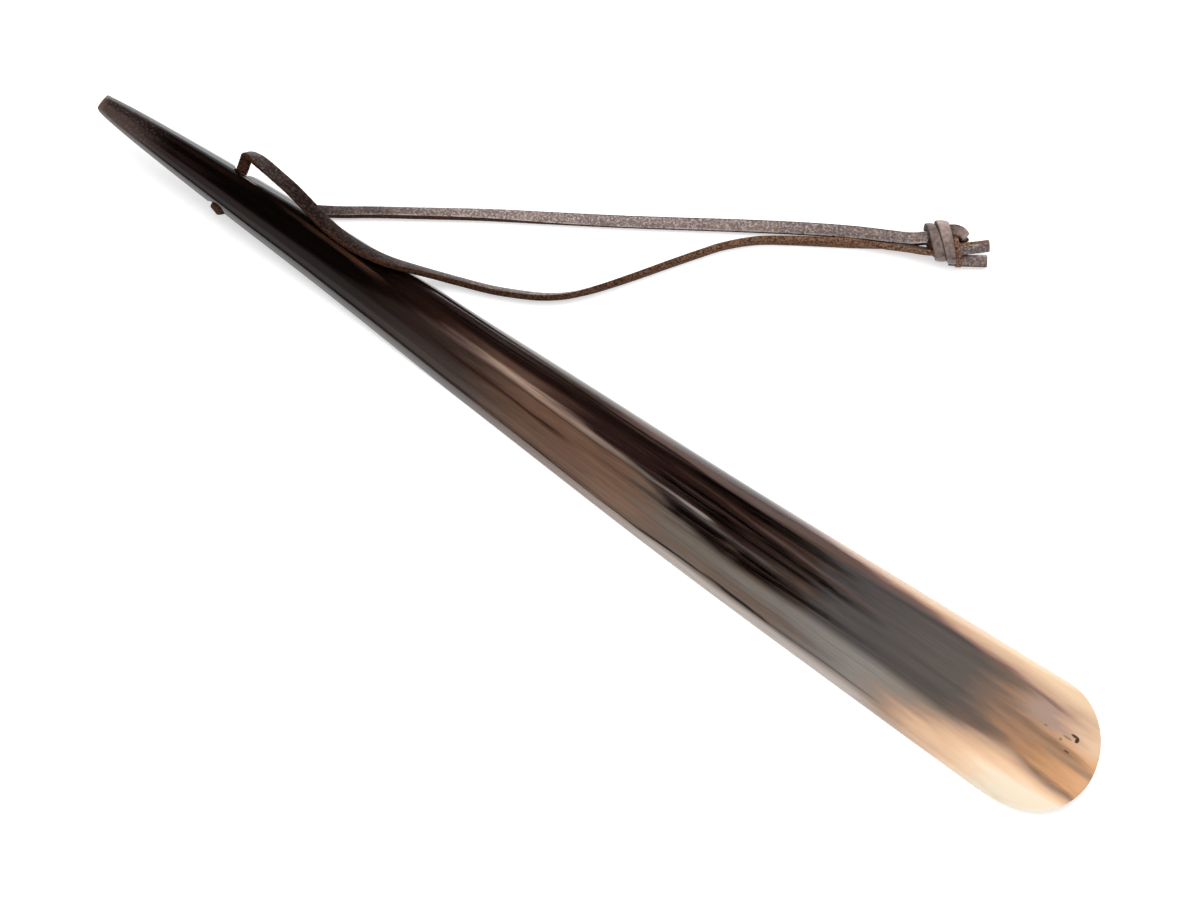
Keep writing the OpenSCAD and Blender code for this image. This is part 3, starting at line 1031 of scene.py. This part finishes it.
@dataclass
class Strip:
    """A flat leather strip laid along rings."""

    name: str
    rings: list[Ring]
    width: float = 3.4
    thick: float = 1.85
    corner: float = 0.42
    node: str = ""
    # Wear and painted sheen along the strip, from its start to its end.
    wear_and_sheen: tuple[float, ...] = (0.6, 0.6)
    tone: tuple[float, ...] = (0.6, 0.6)
    swell: tuple[float, ...] = (1.0, 1.0)
    bulge: float = 0.18
    cut_edges: bool = True
    grain_faces: range = range(2, 9)

    def outline(self) -> list[tuple[float, float]]:
        """Draws the strip's cross section, with a slightly crowned grain face and rounded edges.

        Returns:
            The points round it, from the grain face's corner.
        """
        wide, tall, bend = self.width / 2, self.thick / 2, self.corner
        flat = wide - bend
        points: list[tuple[float, float]] = []
        for sx, sy, first in ((1, 1, 0), (-1, 1, 90), (-1, -1, 180), (1, -1, 270)):
            for step in (0, 30, 60, 90):
                turn = math.radians(first + step)
                x = sx * flat + bend * math.cos(turn)
                y = sy * (tall - bend) + bend * math.sin(turn)
                points.append((x, y))
            if sy > 0 and sx > 0:
                points += [(flat * k, tall + self.bulge * (1 - k * k)) for k in (0.6, 0.2, -0.2, -0.6)]
            if sy < 0 and sx < 0:
                points += [(flat * k, -tall) for k in (-0.6, -0.2, 0.2, 0.6)]
        return points

    @staticmethod
    def _along(stops: tuple[float, ...], share: float) -> float:
        """Reads evenly spaced values along the strip.

        Args:
            stops: the values, from the strip's start to its end.
            share: the share of its length to read at.

        Returns:
            The value there.
        """
        place = share * (len(stops) - 1)
        low = min(int(place), len(stops) - 2)
        return stops[low] + (stops[low + 1] - stops[low]) * (place - low)

    @staticmethod
    def _fray(run: float, corner: int) -> float:
        """How far a corner of the cut edge wavers, at a distance along the strip."""
        return 0.035 * math.sin(run * 3.1 + corner * 1.7) + 0.03 * math.sin(run * 7.7 + corner * 4.1)

    def _loft(self, outline: list[tuple[float, float]]) -> bpy.types.Mesh:
        """Lofts the strip through its rings, and writes on each point how it lies.

        Args:
            outline: the strip's cross section.

        Returns:
            The closed mesh.
        """
        mesh = bmesh.new()
        lie: list[Spot] = []
        rows: list[list[bmesh.types.BMVert]] = []
        run, last, half = 0.0, len(self.rings) - 1, self.width / 2
        for k, ring in enumerate(self.rings):
            if k:
                run += (ring.middle - self.rings[k - 1].middle).length
            wear_and_sheen, tone, swell = (
                self._along(stops, k / last) for stops in (self.wear_and_sheen, self.tone, self.swell)
            )
            row = []
            for j, (x, y) in enumerate(outline):
                edge = max(0.0, abs(x) / half - 0.8) / 0.2
                aside = x * swell + math.copysign(self._fray(run, j) * edge, x)
                row.append(mesh.verts.new((ring.middle + ring.side * aside + ring.face * y) * MM))
                lie.append((wear_and_sheen, x / half, tone))
            rows.append(row)
        count = len(outline)
        for here, there in zip(rows, rows[1:]):
            for j in range(count):
                mesh.faces.new((here[j], there[j], there[(j + 1) % count], here[(j + 1) % count]))
        mesh.faces.new(rows[0])
        mesh.faces.new(list(reversed(rows[-1])))
        bmesh.ops.recalc_face_normals(mesh, faces=mesh.faces)
        data = bpy.data.meshes.new(self.name)
        mesh.to_mesh(data)
        mesh.free()
        laid = data.attributes.new("lie", "FLOAT_VECTOR", "POINT")
        for cell, value in zip(laid.data, lie):
            cell.vector = value
        return data

    def build(self, leather: Leather) -> bpy.types.Object:
        """Makes the strip and dresses it.

        Args:
            leather: the grain side and the raw side.

        Returns:
            The finished piece.
        """
        outline = self.outline()
        data = self._loft(outline)
        for material in leather:
            data.materials.append(material)
        piece = bpy.data.objects.new(self.name, data)
        bpy.context.scene.collection.objects.link(piece)
        for number, polygon in enumerate(data.polygons):
            side = len(polygon.vertices) == 4
            grain = number % len(outline) in self.grain_faces or not self.cut_edges
            polygon.use_smooth = side
            polygon.material_index = int(not (side and grain))
        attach(piece, "root")
        if self.node:
            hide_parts(self.node)
        return piece


def pointing(heading: float, tilt: float) -> Vector:
    """A direction from its compass heading and its tilt above level, in degrees."""
    turn, lift = math.radians(heading), math.radians(tilt)
    return Vector((math.cos(turn) * math.cos(lift), math.sin(turn) * math.cos(lift), math.sin(lift)))


def rings_along(rows: list[RouteRow], gap: float = 0.8) -> tuple[list[Ring], list[int]]:
    """Runs a smooth strip through the rows of a route.

    Args:
        rows: middle x, y and z, then the heading and tilt of the strip's width.
        gap: distance between rings.

    Returns:
        The rings, and the number of the ring at each row.
    """
    count = len(rows)
    samples: list[tuple[float, ...]] = []
    marks: list[int] = []
    spacing = [math.dist(rows[i][:3], rows[i + 1][:3]) for i in range(count - 1)]

    def slope(i: int, k: int) -> float:
        """Change of one number per millimetre at a row, from its two neighbours."""
        low, high = max(i - 1, 0), min(i + 1, count - 1)
        return (rows[high][k] - rows[low][k]) / sum(spacing[low:high])

    for i in range(count - 1):
        marks.append(len(samples))
        steps = max(2, math.ceil(spacing[i] / gap))
        for step in range(steps):
            t = step / steps
            samples.append(
                tuple(
                    rows[i][k]
                    + (rows[i + 1][k] - rows[i][k]) * t * t * (3 - 2 * t)
                    + spacing[i] * t * (1 - t) * (slope(i, k) * (1 - t) - slope(i + 1, k) * t)
                    for k in range(5)
                )
            )
    marks.append(len(samples))
    samples.append(rows[-1])
    rings = []
    for i, sample in enumerate(samples):
        before, after = samples[max(i - 1, 0)], samples[min(i + 1, len(samples) - 1)]
        ahead = (Vector(after[:3]) - Vector(before[:3])).normalized()
        width = pointing(sample[3], sample[4])
        side = (width - ahead * width.dot(ahead)).normalized()
        rings.append(Ring(Vector(sample[:3]), side, ahead.cross(side)))
    return rings, marks


@dataclass
class Knot:
    """The overhand knot: a filling, two wrapped bands, a strand on edge, a turn and two cut ends.

    A row of a strand gives its distance along the knot, its distance across it, its height and its roll
    in degrees. A pair for the wraps gives their first size and how much it grows in the second turn.
    """

    finish: LeatherFinish = field(default_factory=LeatherFinish)
    start: Vector = field(default_factory=lambda: Vector((45.0, 104.0, 4.4)))
    heading: float = 33.0
    middle_height: float = 4.4
    filling: Spot = (5.0, 4.4, 3.5)
    filling_place: Spot = (5.0, 0.2, 4.4)
    wrap_steps: range = range(-8, 171)
    wrap_step: float = 3.6
    wrap_start: float = 1.75
    wrap_pitch: float = 3.35
    wrap_advance: float = 0.533
    wrap_lean: float = 1.05
    wrap_reach: Station = (4.8, 0.85)
    wrap_height: Station = (3.15, 0.25)
    wrap_middle: Station = (0.9, 0.2)
    grow_from: float = 0.55
    grow_over: float = 0.4
    # Painted highlights along the wrapped band, brightest on the second band's crest.
    wrap_highlight: tuple[float, ...] = (0.1, 0.3, 0.4, 0.3, 0.2, 0.3, 1.0, 0.45, 0.25, 0.2)
    wrap_swell: tuple[float, ...] = (0.8, 0.85, 0.95, 1.05, 1.0, 1.0, 1.12, 1.0, 0.8, 0.7)
    # A painted highlight across the turn's outer bend.
    turn_highlight: tuple[float, ...] = (0.0, 0.0, 0.25, 0.5, 1.0, 0.1, 0.0)
    strand: tuple[KnotRow, ...] = (
        (7.4, 3.2, 4.4, 0), (8.3, 1.4, 5.4, 0), (8.8, -0.6, 5.7, 0), (9.3, -2.4, 5.1, 0),
        (9.7, -3.7, 3.8, 0), (9.9, -4.2, 2.5, 0), (9.8, -3.9, 1.5, 0),
    )
    turn: tuple[KnotRow, ...] = (
        (5.8, 4.2, 3.8, 0), (6.7, 4.3, 5.4, 0), (8.1, 4.2, 6.3, 0), (9.6, 3.9, 6.1, 0),
        (10.7, 3.5, 4.9, 0), (10.9, 3.1, 3.5, 0), (10.2, 2.8, 2.4, 0), (8.8, 2.6, 1.9, 0),
    )
    far_end: tuple[KnotRow, ...] = (
        (7.0, -1.3, 5.2, 48), (10.0, -1.2, 5.4, 48), (13.4, -0.5, 5.0, 48), (18.5, 0.6, 4.5, 48),
    )
    near_end: tuple[KnotRow, ...] = (
        (7.0, -3.5, 2.2, 12), (10.0, -3.6, 2.1, 12), (13.4, -3.55, 2.1, 12), (18.2, -3.45, 2.05, 12),
    )

    @property
    def axis(self) -> Vector:
        """The way the knot runs."""
        return pointing(self.heading, 0.0)

    @property
    def across(self) -> Vector:
        """The way to the knot's far side."""
        return pointing(self.heading + 90.0, 0.0)

    def spot(self, along: float, side: float, height: float) -> Vector:
        """A place in the knot, in the part's frame.

        Args:
            along: distance from the knot's start.
            side: distance towards its far side.
            height: height above the table.

        Returns:
            The place.
        """
        level = Vector((self.start.x, self.start.y, height))
        return level + self.axis * along + self.across * side

    def build(self, leather: Leather) -> dict[str, bpy.types.Object]:
        """Makes every piece of the knot.

        Args:
            leather: the lace's grain side and raw side.

        Returns:
            The pieces by name.
        """
        raw = leather[1]
        tight = (self.finish.tight_side(), raw)
        return {
            "core": self._core(raw),
            "wraps": Strip(
                "knot_wraps", self._wraps(), 3.4, 1.7, node="lace_knot", cut_edges=False,
                wear_and_sheen=self.wrap_highlight, swell=self.wrap_swell,
            ).build(tight),
            "strand": Strip(
                "knot_strand", self._rings(self.strand, on_edge=True), 3.0, 2.0, tone=(0.85, 0.85)
            ).build((raw, raw)),
            "turn": Strip(
                "knot_turn", self._rings(self.turn), 3.5, 1.8, wear_and_sheen=self.turn_highlight
            ).build(tight),
            "far_end": Strip(
                "cut_end_far", self._rings(self.far_end), node="lace_far_tail", tone=(0.9, 0.9)
            ).build(leather),
            "near_end": Strip(
                "cut_end_near", self._rings(self.near_end), node="lace_near_tail"
            ).build(leather),
        }

    def _core(self, raw: bpy.types.Material) -> bpy.types.Object:
        """Fills the knot's inside, where the strands lie packed.

        Args:
            raw: the lace's raw side.

        Returns:
            The filling.
        """
        bpy.ops.object.select_all(action="DESELECT")
        bpy.ops.mesh.primitive_uv_sphere_add(segments=24, ring_count=16, radius=MM)
        core = bpy.context.object
        core.name = core.data.name = "knot_core"
        grow = Matrix.Diagonal((*self.filling, 1.0))
        turn = Matrix.Rotation(math.radians(self.heading), 4, "Z")
        place = Matrix.Translation(self.spot(*self.filling_place) * MM)
        core.data.transform(place @ turn @ grow)
        core.data.attributes.new("lie", "FLOAT_VECTOR", "POINT")
        core.data.materials.append(raw)
        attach(core, "root")
        return core

    def _wraps(self) -> list[Ring]:
        """Winds the band twice round the legs, leaning along the knot.

        Returns:
            The band's rings.
        """
        rings = []
        for step in self.wrap_steps:
            turn = math.radians(step * self.wrap_step)
            sine, cosine = math.sin(turn), math.cos(turn)
            grown = min(1.0, max(0.0, (turn / math.tau - self.grow_from) / self.grow_over))
            reach, tall, middle = (
                first + more * grown
                for first, more in (self.wrap_reach, self.wrap_height, self.wrap_middle)
            )
            along = self.wrap_start + self.wrap_pitch * turn / math.tau - self.wrap_lean * cosine
            place = self.spot(along, middle + reach * cosine, self.middle_height + tall * sine)
            out = self.across * cosine / reach + Vector((0, 0, sine / tall))
            ahead = self.axis * (self.wrap_advance + self.wrap_lean * sine) - self.across * sine * reach
            ahead = (ahead + Vector((0, 0, tall * cosine))).normalized()
            face = (out - ahead * out.dot(ahead)).normalized()
            rings.append(Ring(place, face.cross(ahead), face))
        return rings

    def _rings(self, rows: tuple[KnotRow, ...], on_edge: bool = False) -> list[Ring]:
        """Runs a short strip through places in the knot.

        Args:
            rows: the strip's rows.
            on_edge: whether the strip's width stands up instead of lying level.

        Returns:
            The strip's rings.
        """
        places = [(*self.spot(*row[:3]), row[3], 0.0) for row in rows]
        rough, _ = rings_along(places, 0.5)
        steps = len(rough) - 1
        rings = []
        for i, ring in enumerate(rough):
            ahead = (rough[min(i + 1, steps)].middle - rough[max(i - 1, 0)].middle).normalized()
            level = Vector((0, 0, 1)).cross(ahead)
            if level.length < 0.3 or on_edge:
                level = self.across if not on_edge else ahead.cross(self.axis)
            side = (level - ahead * level.dot(ahead)).normalized()
            reach = i / steps * (len(rows) - 1)
            low = min(int(reach), len(rows) - 2)
            roll = rows[low][3] + (rows[low + 1][3] - rows[low][3]) * (reach - low)
            side = Matrix.Rotation(math.radians(roll), 3, ahead) @ side
            rings.append(Ring(ring.middle, side, ahead.cross(side)))
        return rings


@dataclass
class Lace:
    """The lace: two free legs, the stretch in the bore, and the knot with its cut ends.

    A row of a leg gives its middle, and the heading and tilt of its width in degrees.
    """

    finish: LeatherFinish = field(default_factory=LeatherFinish)
    knot: Knot = field(default_factory=Knot)
    leg_offset: float = 2.0
    tuck: float = 4.0
    # Wear along each leg: partly real, partly a painted sheen where the lace catches the light.
    back_wear_and_sheen: tuple[float, ...] = (0.68, 0.72, 0.95, 1.0, 1.0, 0.95, 0.3, 0.08, 0.0)
    # Tone of each leg's cut edges along it: partly rubbing, partly painted light.
    back_tone: tuple[float, ...] = (0.1, 0.0)
    back_swell: tuple[float, ...] = (1.12, 1.1, 1.04, 1.0, 1.0)
    front_wear_and_sheen: tuple[float, ...] = (0.2, 0.0, 0.0, 0.3, 0.85, 0.9, 0.9, 0.6, 0.0)
    front_tone: tuple[float, ...] = (0.0, 0.0, 0.0, 0.0, 0.1, 0.3, 0.55, 0.7, 0.75)
    front_swell: tuple[float, ...] = (1.0, 1.16, 1.2, 1.22, 1.2, 1.1) + (1.0,) * 11
    dull: tuple[float, ...] = (0.0, 0.0)
    back_leg: tuple[RouteRow, ...] = (
        (40.4, 103.2, 3.5, 303, 0), (34.2, 100.2, 2.3, 305, -8), (26.2, 96, 1.8, 306, -12),
        (14.2, 88.8, 1.6, 306, -14), (-2, 78.3, 1.5, 306, -14), (-18, 67.5, 1.5, 306, -14),
        (-34, 56.8, 1.5, 306, -13), (-50, 46.4, 1.5, 306, -5), (-66, 36, 1.6, 306, 12),
        (-82, 25, 1.65, 306, 20), (-94, 16.7, 1.65, 306, 18), (-102, 11, 1.5, 308, 12),
        (-110, 6, 1.3, 314, 4), (-118, 1.4, 1.3, 322, 0), (-124.5, -3, 1.4, 335, 0),
        (-128.6, -6.4, 1.9, 340, 0), (-130.3, -8.9, 3.2, 340, 0), (-130.7, -10.2, 5, 342, 0),
        (-130.6, -10.5, 6.8, 349, 0), (-130.4, -9.6, 8.3, 356, 0), (-130.1, -7.7, 8.8, 360, 0),
    )
    bore_run: tuple[RouteRow, ...] = ((-130, -4, 9.4, 360, 0), (-130, -0.6, 9.9, 362, 0))
    front_leg: tuple[RouteRow, ...] = (
        (-130.3, 2, 10.6, 372, -2), (-131, 5.2, 12.4, 385, -4), (-131.1, 6.1, 13.3, 398, -16),
        (-130.5, 6.7, 14.4, 418, -32), (-128.9, 6.7, 15.2, 434, -36), (-127, 6.6, 15.6, 442, -20),
        (-123.5, 6.4, 15.4, 444, 2), (-119.4, 6.1, 14.7, 442, 8), (-113.9, 5.6, 13.9, 440, 4),
        (-108, 4.6, 13.2, 437, -8), (-102, 3.5, 12.6, 440, -16), (-96, 2.9, 12.2, 446, -22),
        (-90, 3, 11.7, 452, -27), (-84.6, 3.8, 10.8, 462, -32), (-78.4, 5.6, 9.3, 470, -40),
        (-72.4, 8.4, 7, 475, -48), (-67, 11.2, 4.5, 476, -52), (-61, 14, 2.6, 474, -52),
        (-51, 18, 2.05, 475, -52), (-44, 21.4, 2.05, 478, -53), (-37.4, 25.2, 2, 484, -58),
        (-31.4, 30, 1.95, 494, -68), (-26.6, 35.6, 1.9, 503, -77), (-19.6, 45.6, 1.85, 506, -84),
        (-13, 55.6, 1.85, 506, -87), (-8, 63, 1.85, 505, -88), (-3.4, 69.4, 1.85, 499, -88),
        (3.4, 76.4, 1.85, 490, -92), (11, 82, 1.85, 485, -98), (18.9, 87.3, 1.85, 482, -102),
        (26.8, 92.4, 1.85, 480, -100), (35.3, 97.25, 2.3, 480, -68), (40.7, 100.1, 3.3, 481, -54),
    )

    def route(self) -> list[RouteRow]:
        """Joins the whole lace from inside the knot, round the loop and into the knot again.

        Returns:
            The rows of the lace, in order.
        """

        def end(side: float, along: float, heading: float, tilt: float) -> RouteRow:
            """A row at the knot."""
            place = self.knot.spot(along, side, self.knot.start.z)
            return (place.x, place.y, place.z, heading, tilt)

        first = [end(self.leg_offset, self.tuck, 303, 0), end(self.leg_offset, 0.0, 303, 0)]
        last = [end(-self.leg_offset, 0.0, 483, -56), end(-self.leg_offset, self.tuck, 483, -56)]
        return first + list(self.back_leg) + list(self.bore_run) + list(self.front_leg) + last

    def build(self) -> dict[str, bpy.types.Object]:
        """Returns:
            The pieces by name.
        """
        leather = (self.finish.grain_side(), self.finish.raw_side())
        rings, marks = rings_along(self.route())
        back_end = marks[len(self.back_leg) + 1]
        front_start = marks[len(self.back_leg) + len(self.bore_run) + 2]
        back = list(reversed(rings[: back_end + 1]))
        bore = rings[back_end : front_start + 1]
        front = rings[front_start:]
        pieces = {
            "back": Strip(
                "lace_back_strip", rings[: back_end + 1], node="lace_back_leg",
                wear_and_sheen=self.back_wear_and_sheen, tone=self.back_tone, swell=self.back_swell,
            ).build(leather),
            "bore": Strip(
                "lace_bore_strip", bore, node="lace_in_bore", wear_and_sheen=self.dull, tone=self.dull
            ).build(leather),
            "front": Strip(
                "lace_front_strip", front, node="lace_front_leg",
                wear_and_sheen=self.front_wear_and_sheen, tone=self.front_tone, swell=self.front_swell,
            ).build(leather),
        }
        tied = self.knot.build(leather)
        for name, run, others in (("front", front, list(tied.values())), ("back", back, [])):
            path = [ring.middle * MM for ring in run]
            length = sum((b - a).length for a, b in zip(path, path[1:]))
        return {**pieces, **tied}


@dataclass(frozen=True)
class SoftLight:
    """A soft panel of light, in metres; brightness is light per area."""

    place: Spot
    aim: Spot
    width: float
    height: float
    brightness: float
    mirrored: bool


class Panel(Enum):
    """The studio's large lights."""

    KEY = SoftLight((-0.05, 0.45, 1.2), (0.0, 0.03, 0.0), 1.2, 1.2, 2.85, False)
    NEAR_LOW = SoftLight((0.0, -1.02, 0.54), (0.0, 0.0, 0.0), 2.6, 0.5, 0.37, True)
    NEAR_HIGH = SoftLight((0.0, -0.68, 0.94), (0.0, 0.0, 0.0), 2.6, 0.5, 0.15, True)


@dataclass
class Studio:
    """Camera, lights, white floor and surroundings."""

    aim: Vector = field(default_factory=lambda: Vector((4.0, -3.1, 3.0)) * MM)
    azimuth: float = 36.0
    elevation: float = 74.0
    distance: float = 1.3
    focal_pixels: float = 4464.0
    frame_width: float = 1200.0
    sensor_width: float = 36.0
    far_bank: tuple[float, ...] = (3.2, 1.7, 0.7, 0.52, 0.5, 0.5, 0.32, 0.15)
    far_x: float = -0.46
    far_y: float = 0.45
    far_width: float = 0.58
    far_step: float = 0.03
    floor_size: float = 8.0
    floor_shade: float = 0.9
    floor_glow: float = 0.42
    glow_near: float = 0.25
    glow_far: float = 0.7
    fill: float = 0.5
    mirrored_fill: float = 0.006

    def build(self) -> None:
        """Sets up the whole studio."""
        scene = bpy.context.scene
        scene.view_settings.view_transform = "Standard"
        self._camera(scene)
        for panel in Panel:
            self._light(scene, panel.name.lower(), panel.value)
        for row, brightness in enumerate(self.far_bank):
            z = (row + 0.5) * self.far_step
            place, aim = (self.far_x, self.far_y, z), (self.far_x, 0.0, z)
            strip = SoftLight(place, aim, self.far_width, self.far_step, brightness, True)
            self._light(scene, f"far_{row}", strip)
        self._floor()
        self._world(scene)

    def _camera(self, scene: bpy.types.Scene) -> None:
        """Puts the camera at the photograph's viewing angle.

        Args:
            scene: the scene that it looks at.
        """
        back = pointing(self.azimuth - 90.0, self.elevation)
        lens = bpy.data.cameras.new("photo_view")
        lens.sensor_width = self.sensor_width
        lens.lens = self.focal_pixels / self.frame_width * lens.sensor_width
        lens.clip_start, lens.clip_end = 0.01, 50.0
        camera = bpy.data.objects.new("photo_view", lens)
        camera.location = self.aim + back * self.distance
        camera.rotation_euler = (-back).to_track_quat("-Z", "Y").to_euler()
        scene.collection.objects.link(camera)
        scene.camera = camera

    @staticmethod
    def _light(scene: bpy.types.Scene, name: str, panel: SoftLight) -> None:
        """Adds one soft panel, which the camera doesn't see.

        Args:
            scene: the scene that it lights.
            name: the lamp's name.
            panel: its place, size and brightness, and whether polished surfaces show it.
        """
        light = bpy.data.lights.new(name, "AREA")
        light.shape = "RECTANGLE"
        light.size, light.size_y = panel.width, panel.height
        light.energy = panel.brightness * math.pi * panel.width * panel.height
        lamp = bpy.data.objects.new(name, light)
        lamp.location = panel.place
        facing = Vector(panel.aim) - Vector(panel.place)
        lamp.rotation_euler = facing.to_track_quat("-Z", "Y").to_euler()
        lamp.visible_camera = False
        lamp.visible_glossy = panel.mirrored
        scene.collection.objects.link(lamp)

    @staticmethod
    def _rays(shader: Shader, *kinds: str) -> tuple[Value, ...]:
        """Tells kinds of ray apart.

        Args:
            shader: the tree's builder.
            kinds: the kinds to tell, such as "Is Camera Ray".

        Returns:
            For each kind, 1 where a ray is of it.
        """
        outputs = shader.node("ShaderNodeLightPath").socket.node.outputs
        return tuple(Value(shader, outputs[kind]) for kind in kinds)

    def _floor(self) -> None:
        """Lays the white floor, which glows to the eye, more so far away, and still takes the shadow."""
        bpy.ops.object.select_all(action="DESELECT")
        bpy.ops.mesh.primitive_plane_add(size=self.floor_size)
        floor = bpy.context.object
        floor.name = "white_floor"
        material, shader = open_material("white_floor")
        matt = shader.node("ShaderNodeBsdfDiffuse", None, {"Color": (*(self.floor_shade,) * 3, 1.0)})
        place = shader.node("ShaderNodeTexCoord", None, None, "Object")
        away = shader.node("ShaderNodeVectorMath", {"operation": "LENGTH"}, {0: place}, "Value")
        near = (*(self.floor_glow,) * 3, 1.0)
        tint = shader.mix(away.ease(self.glow_near, self.glow_far), near, (1.0, 1.0, 1.0, 1.0))
        straight, mirrored, through = self._rays(
            shader, "Is Camera Ray", "Is Glossy Ray", "Is Transmission Ray"
        )
        seen = straight.most(mirrored).most(through)
        glow = shader.node("ShaderNodeEmission", None, {0: tint, 1: seen})
        both = shader.node("ShaderNodeAddShader", None, {0: matt, 1: glow})
        shader.node("ShaderNodeOutputMaterial", None, {0: both})
        floor.data.materials.append(material)

    def _world(self, scene: bpy.types.Scene) -> None:
        """Gives the surroundings: white to the camera, an even fill, and dark in the horn's polish.

        Args:
            scene: the scene that they surround.
        """
        world = bpy.data.worlds.new("studio")
        world.use_nodes = True
        scene.world = world
        shader = Shader(world.node_tree)
        straight, mirrored = self._rays(shader, "Is Camera Ray", "Is Glossy Ray")
        strength = self.fill + mirrored * (self.mirrored_fill - self.fill) + straight * (1.0 - self.fill)
        sky = shader.node("ShaderNodeBackground", None, {0: (1, 1, 1, 1), 1: strength})
        shader.node("ShaderNodeOutputWorld", None, {0: sky})


def main() -> None:
    """Builds the studio and every piece in order, and reports each."""
    logging.basicConfig(level=logging.INFO, format="%(name)s: %(message)s")
    Studio().build()
    horn = Horn()
    skin = horn.build()
    horn.dress(skin)
    LOG.info("%s: %d faces", skin.name, len(skin.data.polygons))
    for piece in Lace().build().values():
        LOG.info("%s: %d faces", piece.name, len(piece.data.polygons))


if __name__ == "__main__":
    main()
